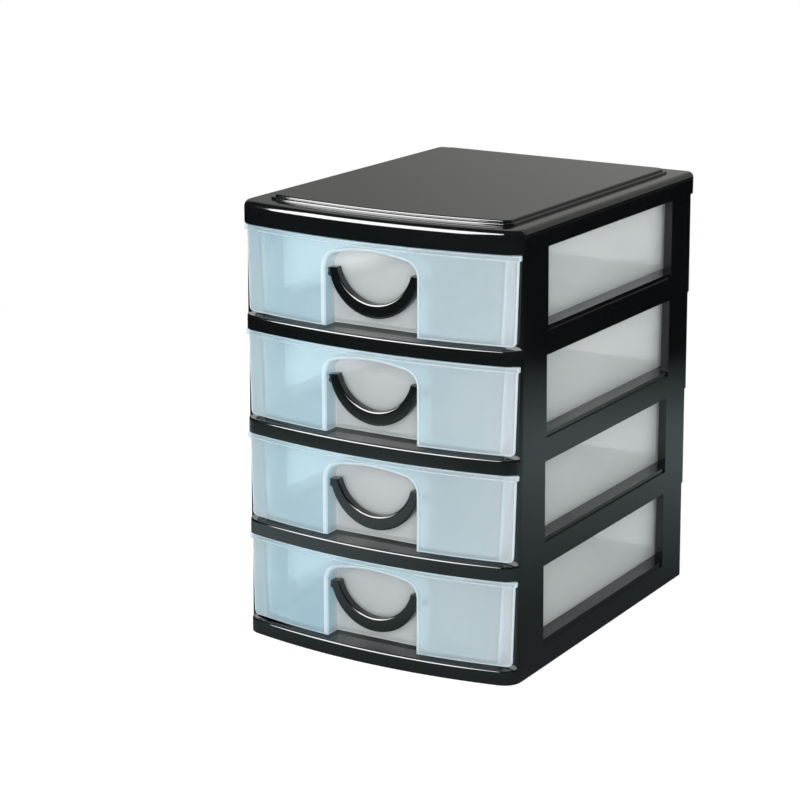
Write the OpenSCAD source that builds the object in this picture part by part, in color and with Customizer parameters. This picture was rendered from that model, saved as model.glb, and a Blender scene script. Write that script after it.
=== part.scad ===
// Desktop mini drawers: four stacked tiers under a cover, each tier with one
// translucent drawer that has a hanging bail handle in an arched pocket.
// Millimetres, +Z up, front towards -Y, origin under the middle of the part.
// Inside the modules y = 0 is the chord of the bowed front and z = 0 is the
// foot of a tier. Tier, drawer and handle 1 are the top ones.

/* [Body] */
// Width over the skirts
body_w = 180; // [172:1:200]
// Depth from the front corners' chord to the back
body_d = 225.5; // [200:0.5:260]
// How far the front bows forward of that chord
bow = 10.7; // [7:0.1:14]
// Height from one tier to the next
pitch = 61.5; // [58:0.5:70]
// How much narrower a tier is at its top, on each side
draft = 0.7; // [0.4:0.1:1.1]
// Radius of the front corners
front_r = 11; // [9:0.5:13]
// Radius of the back corners
back_r = 5; // [4:0.5:7]
// Thickness of the black mouldings
wall = 2.2; // [1.8:0.1:2.5]

/* [Tier frame] */
// Height of the front lip and of the deck that the drawer runs on
deck_z = 8.5; // [7.5:0.1:9]
// Radius on the top edge of the front lip
lip_r = 1.2; // [0.8:0.1:1.6]
// Height of the side sills
sill_z = 13.5; // [12.5:0.1:14]
// Width of a side sill, from the outside to the drawer
sill_w = 10.7; // [10:0.1:11.5]
// Width of the sill's outer strip
strip_w = 1.2; // [1:0.1:1.6]
// How far the ledge beside the drawer stands above that strip
ledge_up = 2.7; // [2.2:0.1:3.2]
// Depth of a post across the part
post_t = 5.5; // [4.8:0.1:6]
// Gap between the ends of the drawers' fronts and the posts behind them
post_gap = 0.55; // [0.4:0.05:2]
// Width of a front post along the side
front_post = 29.8; // [25:0.1:34]
// Width of a back post along the side
back_post = 30.5; // [28:0.5:45]
// How far a back post turns along the back
back_return = 20; // [16:1:30]
// Height of the pegs that locate the tier above
peg_h = 4.5; // [3:0.1:4.5]
// Length of the pegs
peg_l = 14; // [10:0.5:16]
// Wall of the sockets that take the pegs
socket_t = 1.6; // [1.2:0.1:2]
// Height of the ribs under the deck
rib_h = 3.3; // [2:0.1:4]
// Thickness of the ribs under the deck
rib_t = 1.6; // [1.2:0.1:2]

/* [Cover] */
// How far the cover stands out past the tiers
cover_over = 0.6; // [0.2:0.1:0.8]
// Height of the cover's flange
flange_z = 13; // [12:0.1:15]
// Radius on the cover's top edge
cover_r = 3.2; // [2.5:0.1:4]
// How far the plates on the cover's sides stand out
plate_out = 0.4; // [0.2:0.1:0.8]
// Height of those plates
plate_h = 9; // [6:0.1:9.4]
// Flange width at the front
panel_front = 14; // [12:0.1:18]
// Flange width at the sides
panel_side = 11.3; // [10:0.1:15]
// Flange width at the back
panel_back = 12; // [10:0.1:16]
// Rise of each of the panel's two steps
step_h = 1.3; // [1:0.1:1.8]
// Width of the tread between the two steps
step_w = 2.2; // [1.6:0.1:3]
// Corner radius of the raised panel
panel_r = 6; // [5:0.5:9]

/* [Drawer] */
// How far the front panel stops short of the sides, at its top
panel_in = 2; // [1.6:0.1:4]
// How much narrower the front panel is at its foot, on each side
panel_draft = 1.1; // [0.5:0.1:1.5]
// How far the front panel sits behind the lip
face_in = 3; // [2.5:0.1:4]
// Thickness of the front panel
panel_t = 2; // [1.9:0.1:2.3]
// Radius on the panel's lower edge
foot_r = 1.5; // [1:0.1:1.7]
// Radius of the panel's lower corners, seen from the front
heel_r = 3; // [2:0.1:5]
// Corner radius of the drawer's front
panel_corner = 2.5; // [2:0.1:4]
// Wall of the tray
tray_t = 1.8; // [1.6:0.1:2]
// Radius of the tray's back corners
tray_corner = 6; // [4:0.5:10]
// Clearance between the tray's floor and the sills
tray_gap = 0.7; // [0.5:0.1:2]
// How much wider the tray is at its rim, on each side
tray_flare = 2.2; // [1.5:0.1:3]
// Gap behind the tray at rest
tray_back = 12; // [11:0.5:16]
// Height of the drawer's underside over the deck
drawer_lift = 1.4; // [1:0.1:1.7]
// Gap between the drawer's rim and the tier above
rim_gap = 0.8; // [0.5:0.1:2]
// Height of the bead along the top of the front panel
rim_h = 3; // [2.5:0.1:4]
// How far the bead stands out of the front panel
bead = 1.2; // [0.8:0.1:1.4]
// How far the rim stands out past the tray's walls
rim_out = 2.4; // [1.6:0.1:2.8]
// Half of the distance between the two runners
runner_x = 60; // [45:1:68]
// How far the runners stop short of the tray's ends
runner_in = 14; // [8:1:30]

/* [Handle pocket] */
// Half width of the pocket
pocket_half = 29.8; // [28:0.1:34]
// Radius of the pocket's mouth, where the front turns into it
mouth_r = 2; // [1:0.1:2]
// How far the crown of the pocket's arch lies below the rim
crown_in = 5.8; // [5:0.1:7]
// Radius of the arch's crown
crown_r = 100; // [80:1:160]
// Radius of the arch's shoulders
shoulder_r = 9; // [7:0.5:11]
// Where the pocket's back wall stands
pocket_y = 5.2; // [5:0.1:8]

/* [Handle] */
// How far the pivots lie below the arch's crown
pivot_drop = 15.1; // [14.5:0.1:16]
// How far the pivots stand in front of the pocket's back wall
pivot_in = 5; // [4.8:0.1:6]
// How much smaller the bail's inner radius is than its outer one
bail_step = 4.9; // [4:0.1:6]
// Centre of the outer radius above the pivots
bail_up = 6.4; // [5.5:0.1:7]
// Thickness of the bail at the bottom of its curve
bail_w = 8.2; // [7:0.1:9]
// Thickness of the bail, front to back
bail_t = 5.6; // [5.4:0.1:6]
// Bevel on the bail's edges
bail_bevel = 1; // [0.6:0.1:1.2]
// Height of the arms above the pivots
arm_up = 2.9; // [2.8:0.1:3.2]
// Radius of the pivot pins
pin_r = 2.4; // [2:0.1:2.4]
// How far a pin goes past the pocket's wall
pin_out = 2; // [1:0.1:3]

/* [Hidden] */
TIERS = 4;

$fn = 48;
BOW_STEPS = 24;
CORNER_STEPS = 5;
ROUND_STEPS = 3;
GAP = 0.3;            // running or seating clearance
PIN_GAP = 0.08;       // radial clearance of a pivot pin
BOSS = 0.2;           // how much thicker than its pin a boss is
PIN_BEVEL = 0.5;      // bevel on the end of a pin
OVER = 1;             // how far a cut runs past the surface it opens
FAR = 400;            // longer than the part

black = [0.03, 0.033, 0.035];
frosted = [0.78, 0.88, 0.93, 0.55];

half_w = body_w / 2;
bow_r = (half_w * half_w + bow * bow) / (2 * bow);
bow_y = bow_r - bow;  // centre of the bow, behind the chord
middle_y = (body_d - bow) / 2;
sill_in = half_w - sill_w;
ledge_x = half_w - strip_w;
ledge_z = sill_z + ledge_up;
post_in = half_w - post_t;
inner = wall + draft; // from the foot's outline to the inside at any height

drawer_z = deck_z + drawer_lift;
rim_z = pitch - rim_gap;
bead_z = rim_z - rim_h;
panel_half = half_w - panel_in;
panel_rear = face_in + panel_t;
tray_half = sill_in - tray_gap;
tray_rim = tray_half + tray_flare;
tray_front = face_in + panel_t / 2;  // buried in the front panel
tray_end = body_d - tray_back;

post_y = bow_y - sqrt(pow(bow_r - panel_rear, 2) - pow(panel_half + bead, 2)) + post_gap;
window_y0 = post_y + front_post;
window_y1 = body_d - back_post;
peg_t = post_t - inner - 2 * GAP;    // a peg stands inside the next skirt

pocket_z = rim_z - crown_in;
pivot_y = pocket_y - pivot_in;
pivot_z = pocket_z - pivot_drop;
bail_r = pocket_half - GAP;
bail_in = bail_r - bail_step;

// ---- outlines -------------------------------------------------------------

// Points of an arc, both ends included
function arc(c, r, from, to, steps) =
    [for (k = [0 : steps]) let (a = from + (to - from) * k / steps) c + r * [cos(a), sin(a)]];

// A shape with one bowed side: the bow has radius r about [0, cy] and runs on
// tangentially through corners of radius ra into straight sides at x = +-half.
// The far side lies at y = back, with corners of radius rb.
function bowed(half, r, cy, ra, back, rb) =
    let (cx = half - ra)
    let (ay = cy - sqrt(pow(r - ra, 2) - cx * cx))
    let (t = asin(cx / (r - ra)))
    concat(
        arc([0, cy], r, -90 - t, t - 90, BOW_STEPS),
        arc([cx, ay], ra, t - 90 + (90 - t) / CORNER_STEPS, 0, CORNER_STEPS - 1),
        arc([half - rb, back - rb], rb, 0, 90, CORNER_STEPS),
        arc([rb - half, back - rb], rb, 90, 180, CORNER_STEPS),
        arc([-cx, ay], ra, 180, 270 - t - (90 - t) / CORNER_STEPS, CORNER_STEPS - 1)
    );

// The tiers' outline, moved inwards by i
function plan(i) =
    bowed(half_w - i, bow_r - i, bow_y, front_r - i, body_d - i, max(back_r - i, 1));

// Outline of the cover's raised panel, moved inwards by i
function panel_plan(i) =
    bowed(half_w - panel_side - i, bow_r - panel_front - i, bow_y, panel_r - i / 2,
        body_d - panel_back - i, panel_r - i / 2);

// Outline of a drawer's shape of the given half width and end, its front
// following the bow at a distance in behind the lip
function drawer_plan(half, in, end, back_corner = panel_corner) =
    bowed(half, bow_r - in, bow_y, panel_corner, end, back_corner);

// Steps of a rounded lower edge: [inset, height]
function rounded_foot(r) =
    [for (k = [0 : ROUND_STEPS]) let (a = 90 * k / ROUND_STEPS) [r - r * sin(a), r - r * cos(a)]];

// How far an edge rounded with radius r lies inwards at height z
function round_in(r, z) = z < r ? r - sqrt(r * r - (r - z) * (r - z)) : 0;

// Steps of a rounded upper edge: [inset, height]
function rounded_top(r) =
    [for (k = [0 : ROUND_STEPS]) let (a = 90 * k / ROUND_STEPS) [r - r * cos(a), r * sin(a)]];

// ---- general shapes -------------------------------------------------------

// Skin over rings of points, all with as many points; the first and the last
// ring are flat
module skin(rings) {
    n = len(rings[0]);
    last = len(rings) - 1;
    points = [for (ring = rings) for (p = ring) p];
    bottom = [for (k = [0 : n - 1]) k];
    top = [for (k = [n - 1 : -1 : 0]) last * n + k];
    sides = [for (j = [0 : last - 1]) for (k = [0 : n - 1])
        let (m = (k + 1) % n)
        [j * n + m, j * n + k, (j + 1) * n + k, (j + 1) * n + m]];
    polyhedron(points, concat([bottom], sides, [top]));
}

// Skin over rings of [outline, z]
module loft(rings) {
    skin([for (ring = rings) [for (p = ring[0]) [p[0], p[1], ring[1]]]]);
}

// An outline raised from one height to another
module slab(outline, from, to) {
    translate([0, 0, from])
        linear_extrude(to - from)
            polygon(outline);
}

// A box given by its lowest and highest corners
module block(low, high) {
    translate(low)
        cube(high - low);
}

// The same thing on the left and on the right
module both_sides() {
    children();
    mirror([1, 0, 0])
        children();
}

// ---- tier frames ----------------------------------------------------------

// The drafted outside of a tier, behind the fronts of its posts
module tier_shell() {
    difference() {
        loft([[plan(0), 0], [plan(draft), pitch]]);
        block([-FAR, -FAR, -OVER], [FAR, post_y, FAR]);
    }
}

// The front lip with its rounded top edge
module front_lip() {
    edge_z = deck_z - lip_r;
    edge_in = draft * edge_z / pitch;
    intersection() {
        loft(concat(
            [[plan(0), 0]],
            [for (s = rounded_top(lip_r)) [plan(edge_in + s[0]), edge_z + s[1]]]
        ));
        block([-half_w, -FAR, 0], [half_w, post_y + wall, deck_z]);
    }
}

// What is open above the deck: the bay, the drawer's channel between the
// sills, the windows with the strip outside the ledge, and the open back
module tier_openings() {
    block([-post_in, -FAR, ledge_z], [post_in, body_d - inner, FAR]);
    block([-sill_in, -FAR, deck_z], [sill_in, tray_end + GAP, FAR]);
    block([-FAR, window_y0, ledge_z], [FAR, window_y1, FAR]);
    both_sides()
        block([ledge_x, window_y0, sill_z], [FAR, window_y1, FAR]);
    block([back_return - half_w, middle_y, sill_z], [half_w - back_return, FAR, FAR]);
}

// The posts are channels that are open towards the drawer
module post_channels() {
    cap_z = pitch - wall;
    web_x = half_w - inner;
    both_sides() {
        block([post_in - OVER, post_y + wall, ledge_z], [web_x, window_y0 - wall, cap_z]);
        block([half_w - back_return, window_y1 + wall, ledge_z],
            [web_x, body_d - inner, cap_z]);
    }
}

// The hollow underside: low under the deck, higher under the sills
module tier_hollow() {
    rim = plan(inner);
    slab(rim, -OVER, deck_z - wall);
    difference() {
        slab(rim, -OVER, ledge_z - wall);
        block([-sill_in - wall, -FAR, -FAR], [sill_in + wall, tray_end + GAP + wall, FAR]);
        block([-FAR, -FAR, -FAR], [FAR, post_y + wall, FAR]);
    }
}

// A grid of stiffening ribs under the deck
module deck_ribs() {
    under_z = deck_z - wall;
    intersection() {
        slab(plan(inner - OVER), under_z - rib_h, under_z + OVER);
        union() {
            for (x = [-sill_in / 2, 0, sill_in / 2])
                block([x - rib_t / 2, -FAR, 0], [x + rib_t / 2, tray_end, deck_z]);
            for (k = [1 : 3])
                translate([0, k * body_d / 4, 0])
                    block([-sill_in, -rib_t / 2, 0], [sill_in, rib_t / 2, deck_z]);
        }
    }
}

// Puts its children on the two posts of each side, at a peg's front end
module at_pegs() {
    both_sides()
        for (y = [post_y + 2 * wall, window_y1 + wall])
            translate([post_in + GAP, y, 0])
                children();
}

module pegs() {
    at_pegs()
        block([0, 0, pitch - wall], [peg_t, peg_l, pitch + peg_h]);
}

// Sockets for the pegs of the tier below, joined to the skirt and to the
// ledge at height top
module sockets(top) {
    around = GAP + socket_t;
    at_pegs()
        difference() {
            block([-around, -around, GAP], [peg_t + GAP + OVER, peg_l + around, top]);
            block([-GAP, -GAP, -OVER], [peg_t + GAP, peg_l + GAP, peg_h + GAP]);
        }
}

module tier_frame() {
    color(black) {
        difference() {
            union() {
                front_lip();
                tier_shell();
            }
            tier_openings();
            post_channels();
            tier_hollow();
        }
        deck_ribs();
        pegs();
        sockets(ledge_z - OVER);
    }
}

// ---- cover ----------------------------------------------------------------

module top_cover() {
    edge_z = flange_z - cover_r;
    panel_z = flange_z + 2 * step_h;
    color(black)
        difference() {
            union() {
                loft(concat(
                    [[plan(-cover_over), 0]],
                    [for (s = rounded_top(cover_r)) [plan(s[0] - cover_over), edge_z + s[1]]]
                ));
                slab(panel_plan(0), edge_z, flange_z + step_h);
                slab(panel_plan(step_w), edge_z, panel_z);
                both_sides()
                    block([half_w, post_y, 0],
                        [half_w + cover_over + plate_out, body_d - back_r, plate_h]);
            }
            difference() {
                union() {
                    slab(plan(inner), -OVER, flange_z - wall);
                    slab(panel_plan(step_w + wall), -OVER, panel_z - wall);
                }
                sockets(flange_z);
            }
        }
}

// ---- drawers --------------------------------------------------------------

// The bowed front panel with the bead along its top
module front_panel() {
    end = window_y0;
    edge = bead / 2;
    foot = panel_half - panel_draft;
    difference() {
        union() {
            loft(concat(
                [for (s = rounded_foot(heel_r))
                    [drawer_plan(foot - s[0], face_in + round_in(foot_r, s[1]), end),
                        drawer_z + s[1]]],
                [[drawer_plan(panel_half, face_in, end), bead_z + edge]]
            ));
            loft([for (s = [[edge, 0], [0, edge], [0, rim_h - edge], [edge, rim_h]])
                [drawer_plan(panel_half + bead - s[0], face_in - bead + s[0], end),
                    bead_z + s[1]]]);
        }
        slab(drawer_plan(half_w + wall, panel_rear, body_d), 0, FAR);
    }
}

// The outside of the tray, with the rim that stands out round its top
module tray_outside() {
    loft(concat(
        [for (s = rounded_foot(foot_r))
            [drawer_plan(tray_half - s[0], tray_front + s[0], tray_end - s[0], tray_corner),
                drawer_z + s[1]]],
        [[drawer_plan(tray_rim, tray_front, tray_end, tray_corner), rim_z]]
    ));
    slab(drawer_plan(tray_rim + rim_out, tray_front, tray_end + rim_out, tray_corner + rim_out),
        rim_z - tray_t, rim_z);
}

// The tray's inside, open at the top
module tray_inside() {
    floor_z = drawer_z + tray_t;
    in = panel_rear + GAP;
    end = tray_end - tray_t;
    loft([for (s = [[0, floor_z], [tray_flare, rim_z], [tray_flare, rim_z + OVER]])
        [drawer_plan(tray_half - tray_t + s[0], in, end, tray_corner - tray_t), s[1]]]);
}

// The pocket's arch moved outwards by g, with its foot at z = foot: [x, -z]
function arch(g, foot) =
    bowed(pocket_half + g, crown_r + g, crown_r - pocket_z, shoulder_r + g, -foot, 1);

// Where the front's face, moved in by i, stands at x
function face_y(x, i) = bow_y - sqrt(pow(bow_r - face_in - i, 2) - x * x);

// The arched body that the pocket's walls are left of
module pocket_walls() {
    end = pocket_y + tray_t;
    translate([0, end, 0])
        rotate([90, 0, 0])
            linear_extrude(end + bow)
                mirror([0, 1])
                    polygon(arch(tray_t, drawer_z));
}

// The pocket's hollow, with its mouth rounded along the bowed face
module pocket_hollow() {
    outer = arch(mouth_r, deck_z);
    skin(concat(
        [[for (p = outer) [p[0], -FAR, -p[1]]]],
        [for (s = rounded_foot(mouth_r))
            [for (p = arch(s[0], deck_z)) [p[0], face_y(p[0], s[1]), -p[1]]]],
        [[for (p = arch(0, deck_z)) [p[0], pocket_y, -p[1]]]]
    ));
}

// Bores for the handle's pins through the pocket's side walls
module pivot_holes() {
    both_sides()
        translate([pocket_half - OVER, pivot_y, pivot_z])
            rotate([0, 90, 0])
                cylinder(h = tray_t + 2 * OVER, r = pin_r + PIN_GAP);
}

module runners() {
    both_sides()
        block([runner_x - tray_t / 2, runner_in, deck_z + GAP],
            [runner_x + tray_t / 2, tray_end - runner_in, drawer_z + tray_t / 2]);
}

module drawer() {
    color(frosted)
        difference() {
            union() {
                front_panel();
                difference() {
                    tray_outside();
                    tray_inside();
                }
                intersection() {
                    pocket_walls();
                    tray_outside();
                }
                runners();
            }
            pocket_hollow();
            pivot_holes();
        }
}

// ---- handles --------------------------------------------------------------

// A disc on the Y axis with bevelled rims; a negative bevel flares them out
module bevelled_disc(r, t, bevel) {
    end = t / 2;
    flat = end - abs(bevel);
    rotate([90, 0, 0])
        rotate_extrude()
            polygon([[0, -end], [r - bevel, -end], [r, -flat], [r, flat], [r - bevel, end],
                [0, end]]);
}

// A pin along X from the arm's inner side, and the lug beside the arm that it
// grows from: round below, flat on top in line with the arm
module pin() {
    boss_r = pin_r + BOSS;
    to_wall = pocket_half - GAP - bail_in;
    to_bevel = pocket_half + tray_t + pin_out - PIN_BEVEL - bail_in;
    block([0, -boss_r, 0], [to_wall, boss_r, arm_up]);
    rotate([0, 90, 0]) {
        cylinder(h = to_wall, r = boss_r);
        cylinder(h = to_bevel, r = pin_r);
        translate([0, 0, to_bevel])
            cylinder(h = PIN_BEVEL, r1 = pin_r, r2 = pin_r - PIN_BEVEL);
    }
}

module handle() {
    outer_z = bail_up;
    inner_z = bail_up - bail_r + bail_w + bail_in;
    color(black)
        translate([0, pivot_y, pivot_z]) {
            difference() {
                translate([0, 0, outer_z])
                    bevelled_disc(bail_r, bail_t, bail_bevel);
                translate([0, 0, inner_z])
                    bevelled_disc(bail_in, bail_t + 2 * OVER, -bail_bevel - OVER);
                block([-FAR, -FAR, arm_up], [FAR, FAR, FAR]);
            }
            both_sides()
                translate([bail_in, 0, 0])
                    pin();
        }
}

// ---- assembly -------------------------------------------------------------

// Puts a piece of tier i in its place; the cover stands on the top tier
module at_tier(i) {
    translate([0, -middle_y, (TIERS - i) * pitch])
        children();
}

at_tier(0) top_cover();
for (i = [1 : TIERS]) {
    at_tier(i) tier_frame();
    at_tier(i) drawer();
    at_tier(i) handle();
}
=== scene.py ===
"""Desktop mini drawers: four stacked black tiers under a cover, with frosted drawers.

Laid out as an add-on and run as a script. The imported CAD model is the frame: every
piece is in metres in its coordinates, and each takes the place of one CAD node.
Shapes are worked out in millimetres, with y = 0 on the chord of the bowed front and
z = 0 at the foot of a tier, as the mouldings' own drawings would have them.
"""

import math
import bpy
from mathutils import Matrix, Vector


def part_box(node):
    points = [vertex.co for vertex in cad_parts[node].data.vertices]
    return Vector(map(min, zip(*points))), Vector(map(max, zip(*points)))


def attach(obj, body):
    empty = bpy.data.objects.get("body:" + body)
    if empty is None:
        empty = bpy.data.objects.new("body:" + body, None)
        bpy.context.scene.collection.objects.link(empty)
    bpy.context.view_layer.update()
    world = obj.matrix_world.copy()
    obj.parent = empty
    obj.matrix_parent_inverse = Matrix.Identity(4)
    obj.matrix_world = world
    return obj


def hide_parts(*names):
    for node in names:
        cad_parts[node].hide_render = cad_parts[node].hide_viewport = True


bl_info = {
    "name": "Desktop Mini Drawers",
    "version": (1, 0, 0),
    "blender": (4, 5, 0),
    "location": "View3D > Sidebar > Mini Drawers",
    "description": "Builds a stack of frosted drawers in black tiers with bail handles",
    "category": "Add Mesh",
}

import bmesh
import bpy
from mathutils import Matrix, Vector

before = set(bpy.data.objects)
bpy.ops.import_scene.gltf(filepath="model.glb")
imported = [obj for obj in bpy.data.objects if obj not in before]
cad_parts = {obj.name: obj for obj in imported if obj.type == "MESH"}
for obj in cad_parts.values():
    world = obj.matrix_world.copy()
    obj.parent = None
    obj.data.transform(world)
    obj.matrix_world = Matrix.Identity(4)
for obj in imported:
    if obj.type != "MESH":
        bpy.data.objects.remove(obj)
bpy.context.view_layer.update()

TIERS = 4
MM = 0.001  # in metres
UPPER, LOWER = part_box("tier_frame_1"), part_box("tier_frame_2")
CAD_WIDTH = (UPPER[1][0] - UPPER[0][0]) / MM
PITCH = UPPER[0][2] / MM - LOWER[0][2] / MM  # what a tier adds to the stack
GAP = 0.3  # running or seating clearance
PIN_GAP = 0.08  # radial clearance of a pivot pin
OVER = 1.0  # how far a cut runs past the surface it opens
FAR = 400.0  # longer than the object
GUARD = 0.3  # flat ring beside a rounded edge, which keeps its shading to itself
LEAST_R = 1.0  # a corner gets no sharper than this as its outline moves inwards
BOSS = 0.2  # how far a pin's boss stands out round the pin
MERGE = 1e-5  # points closer than this are one
RIB_BARS = 3  # ribs each way under a deck

BOW_STEPS = 72
CORNER_STEPS = 12
TURN_STEPS = 48
ROUND_STEPS = 5
QUARTER = [math.pi / 2 * k / ROUND_STEPS for k in range(ROUND_STEPS + 1)]
ROUNDED = "rounded"  # face attribute: 1 where a moulding turns round an edge


# ---------------------------------------------------------------- sizes and colours


def length(name, text, value):
    """A size in millimetres, which no unit of a property shows as such."""
    return bpy.props.FloatProperty(name=name, description=text, default=value, min=0.0)


def hex_colour(name, text, code):
    """A colour of the object, stated as sRGB hex and kept linear."""
    return bpy.props.FloatVectorProperty(
        name=name, description=text, default=linear(code), size=4,
        subtype="COLOR", min=0.0, max=1.0,
    )


def linear(code):
    """sRGB hex to linear RGB and full alpha, as a node takes it."""
    parts = [int(code[i : i + 2], 16) / 255 for i in (0, 2, 4)]
    rgb = (c / 12.92 if c <= 0.04045 else ((c + 0.055) / 1.055) ** 2.4 for c in parts)
    return (*rgb, 1.0)


class TierSizes(bpy.types.PropertyGroup):
    """Sizes of the black mouldings, in millimetres"""

    depth: length("Depth", "From the front corners' chord to the back", 225.5)
    bow: length("Bow", "How far the front bows forward of that chord", 10.7)
    draft: length("Draft", "How much narrower a tier is at its top, on each side", 0.7)
    front_r: length("Front corners", "Radius of the front corners", 11.0)
    back_r: length("Back corners", "Radius of the back corners", 5.0)
    wall: length("Wall", "Thickness of the black mouldings", 2.2)
    deck_z: length("Deck", "Height of the front lip and of the deck", 8.5)
    lip_r: length("Lip edge", "Radius on the top edge of the front lip", 1.2)
    sill_z: length("Sill", "Height of the side sills", 13.5)
    sill_w: length("Sill width", "From the outside to the drawer's channel", 10.7)
    strip_w: length("Strip", "Width of the sill's outer strip", 1.2)
    ledge_up: length("Ledge", "How far the ledge beside the drawer stands above that strip", 2.7)
    post_t: length("Post depth", "Depth of a post across the object", 5.5)
    post_y: length("Post start", "Where the front posts start", 5.5)
    front_post: length("Front post", "Width of a front post along the side", 29.8)
    back_post: length("Back post", "Width of a back post along the side", 30.5)
    back_return: length("Back return", "How far a back post turns along the back", 20.0)
    peg_h: length("Peg height", "Height of the pegs that locate the tier above", 4.5)
    peg_l: length("Peg length", "Length of those pegs", 14.0)
    socket_t: length("Socket wall", "Wall of the sockets for those pegs", 1.6)
    rib_h: length("Rib height", "Height of the ribs under the deck", 3.3)
    rib_t: length("Rib thickness", "Thickness of the ribs under the deck", 1.6)
    edge: length("Edge round", "Radius that the mould leaves on sharp edges", 0.25)


class CoverSizes(bpy.types.PropertyGroup):
    """Sizes of the cover, in millimetres"""

    over: length("Overhang", "How far the cover stands out past the tiers", 0.6)
    flange_z: length("Flange", "Height of the cover's flange", 13.0)
    edge_r: length("Top edge", "Radius on the cover's top edge", 3.2)
    panel_front: length("Front flange", "Flange width at the front", 14.0)
    panel_side: length("Side flange", "Flange width at the sides", 11.3)
    panel_back: length("Back flange", "Flange width at the back", 12.0)
    step_h: length("Step", "Rise of each of the panel's two steps", 1.3)
    step_w: length("Tread", "Width of the tread between the steps", 2.2)
    panel_r: length("Panel corners", "Corner radius of the raised panel", 6.0)
    step_r: length("Step edge", "Radius on the edges of the panel's steps", 0.9)
    plate_out: length("Side plate", "How far the plates on the sides stand out", 0.4)
    plate_h: length("Plate height", "Height of those plates", 9.0)


class DrawerSizes(bpy.types.PropertyGroup):
    """Sizes of the drawers, in millimetres"""

    panel_half: length("Front half width", "Half width of the front at its top", 88.0)
    panel_draft: length("Front draft", "How much narrower the front is at its foot", 1.1)
    face_in: length("Set back", "How far the front sits behind the lip", 3.0)
    panel_t: length("Front thickness", "Thickness of the front panel", 2.0)
    foot_r: length("Foot round", "Radius on the lower edge", 1.5)
    heel_r: length("Lower corners", "Radius of the front's lower corners", 3.0)
    corner: length("Front corners", "Corner radius of the front", 2.5)
    tray_t: length("Tray wall", "Wall of the tray", 1.8)
    tray_corner: length("Back corners", "Radius of the tray's back corners", 6.0)
    tray_half: length("Tray half width", "Half width of the tray at its floor", 78.6)
    tray_flare: length("Flare", "How much wider the tray is at its rim", 2.2)
    tray_back: length("Rear gap", "Gap behind the tray at rest", 12.0)
    foot_z: length("Underside", "Height of the drawer's underside", 9.9)
    rim_z: length("Rim", "Height of the drawer's rim", 60.7)
    rim_h: length("Bead height", "Height of the bead along the front's top", 3.0)
    rim_out: length("Rim width", "How far the rim stands out past the tray", 2.4)
    bead: length("Bead", "How far the bead stands out of the front", 1.2)
    runner_x: length("Runners", "Half of the distance between the runners", 60.0)
    runner_in: length("Runner ends", "How far the runners stop short of the ends", 14.0)
    pocket_half: length("Pocket half width", "Half width of the handle pocket", 29.8)
    mouth_r: length("Pocket mouth", "Radius where the front turns into the pocket", 2.0)
    pocket_z: length("Pocket crown", "Height of the crown of the pocket's arch", 54.9)
    crown_r: length("Crown radius", "Radius of the arch's crown", 100.0)
    shoulder_r: length("Shoulder radius", "Radius of the arch's shoulders", 9.0)
    pocket_y: length("Pocket back", "Where the pocket's back wall stands", 5.2)
    edge: length("Edge round", "Radius that the mould leaves on sharp edges", 0.3)


class HandleSizes(bpy.types.PropertyGroup):
    """Sizes of the bail handles, in millimetres"""

    pivot_z: length("Pivot height", "Height of the pivots in the tier", 39.8)
    pivot_y: length("Pivot place", "Where the pivots stand, front to back", 0.2)
    outer_r: length("Outer radius", "Outer radius of the bail", 29.5)
    inner_r: length("Inner radius", "Inner radius of the bail", 24.6)
    up: length("Rise", "Centre of the outer radius above the pivots", 6.4)
    width: length("Width", "Width of the bail at the bottom of its curve", 8.2)
    thick: length("Thickness", "Thickness of the bail, front to back", 5.6)
    bevel: length("Bevel", "Bevel on the bail's edges", 1.0)
    arm_up: length("Arm", "Height of the arms above the pivots", 2.9)
    pin_r: length("Pin radius", "Radius of the pivot pins", 2.4)
    pin_out: length("Pin end", "How far a pin goes past the pocket's wall", 2.0)
    pin_tip: length("Pin tip", "Chamfer on a pin's end", 0.5)
    edge: length("Edge round", "Radius that the mould leaves on sharp edges", 0.2)


class Finishes(bpy.types.PropertyGroup):
    """Colours of the two plastics, of the painted cool light on the drawers' fronts, and of the
    studio's paper
    """

    black: hex_colour("Black", "Carbon-black pigment of the frames and handles", "060808")
    frosted: hex_colour("Frosted", "Natural polypropylene of the trays", "EEF2F2")
    # painted cool light: the bluish cast that the light gives the drawers' fronts, kept as a
    # colour
    front: hex_colour("Front", "The same, as tinted in the drawers' fronts", "CAEAF6")
    floor: hex_colour("Floor", "Studio floor and backdrop", "F4F5F5")


# ---------------------------------------------------------------- outlines


def arc(centre, radius, start, end, steps):
    """Points of an arc, both ends included; angles in degrees."""
    angles = [math.radians(start + (end - start) * k / steps) for k in range(steps + 1)]
    x, y = centre
    return [(x + radius * math.cos(a), y + radius * math.sin(a)) for a in angles]


def bowed(half, radius, centre_y, front_r, back, back_r):
    """An outline with one bowed side of the given radius about (0, centre_y).

    It runs on tangentially through corners of front_r into straight sides at
    x = +-half, and ends at y = back in corners of back_r.
    """
    cx = half - front_r
    ay = centre_y - math.sqrt((radius - front_r) ** 2 - cx * cx)
    turn = math.degrees(math.asin(cx / (radius - front_r)))
    step = (90 - turn) / CORNER_STEPS
    return (
        arc((0, centre_y), radius, -90 - turn, turn - 90, BOW_STEPS)
        + arc((cx, ay), front_r, turn - 90 + step, 0, CORNER_STEPS - 1)
        + arc((half - back_r, back - back_r), back_r, 0, 90, CORNER_STEPS)
        + arc((back_r - half, back - back_r), back_r, 90, 180, CORNER_STEPS)
        + arc((-cx, ay), front_r, 180, 270 - turn - step, CORNER_STEPS - 1)
    )


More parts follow.
